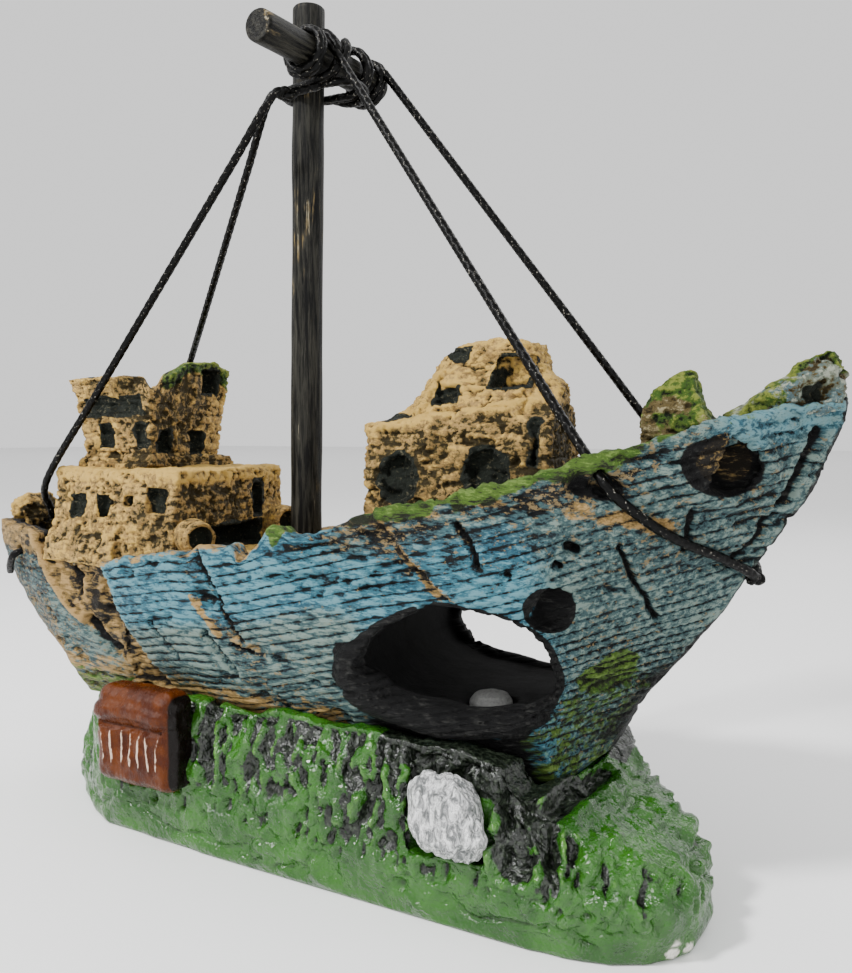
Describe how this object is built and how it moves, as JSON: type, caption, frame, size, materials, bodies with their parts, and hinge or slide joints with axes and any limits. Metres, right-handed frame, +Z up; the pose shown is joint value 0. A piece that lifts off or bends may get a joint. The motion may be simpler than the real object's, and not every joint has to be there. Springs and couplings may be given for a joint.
{
  "type": "aquarium shipwreck ornament",
  "caption": "Broken sailing ship on a rock reef, with a swim-through hold, lashed mast and yard, cord stays and an air stone fed from a barbed inlet.",
  "frame": {"origin": "centre of the reef's flat underside, on the ship's middle plane", "axes": "+X to the bow, +Y to port, +Z up along the mast"},
  "size_m": [0.1203, 0.0471, 0.1028],
  "materials": {
    "reef": "glossy green paint over cast resin, dark grey in the pits",
    "hull_paint": "blue paint over cast resin planks with a black wash",
    "ochre_resin": "ochre paint over cast resin with a black wash",
    "chest_paint": "glossy red-brown paint",
    "silver_paint": "bright silver paint",
    "moss": "mossy green paint over cast resin",
    "stained_wood": "black stained dowel, scuffed",
    "waxed_cord": "black waxed braid",
    "clear_tube": "milky soft tube",
    "black_plastic": "moulded",
    "stone_grey": "porous sintered grit"
  },
  "bodies": {
    "wreck": {"reef_base": "reef", "hull": "hull_paint", "main_deck": "ochre_resin", "treasure_chest": "chest_paint", "silver_rock": "silver_paint", "stern_castle_lower": "ochre_resin", "stern_castle_upper": "ochre_resin", "deckhouse": "ochre_resin", "deck_cask_starboard": "ochre_resin", "deck_cask_port": "ochre_resin", "bow_stump": "moss", "bow_crest": "moss", "taffrail": "ochre_resin", "mast": "stained_wood", "fore_stay_near": "waxed_cord", "fore_stay_far": "waxed_cord", "aft_stay_near": "waxed_cord", "aft_stay_far": "waxed_cord", "stem_knot": "waxed_cord", "air_channel": "clear_tube", "air_inlet": "black_plastic", "air_stone": "stone_grey"},
    "lashing": {"yard_lashing": "waxed_cord"},
    "yard": {"yard": "stained_wood", "yard_knot_near": "waxed_cord", "yard_knot_far": "waxed_cord"}
  },
  "joints": [
    {"name": "lashing_swing", "type": "hinge", "parent": "wreck", "child": "lashing", "pos_m": [-0.00961, 0, 0.0949], "axis": [0.0137, 0, 0.9999], "range_deg": [-6, 6]},
    {"name": "yard_rock", "type": "hinge", "parent": "lashing", "child": "yard", "pos_m": [-0.00536, 0, 0.09484], "axis": [0.9999, 0, -0.0137], "range_deg": [-3.5, 3.5]}
  ]
}
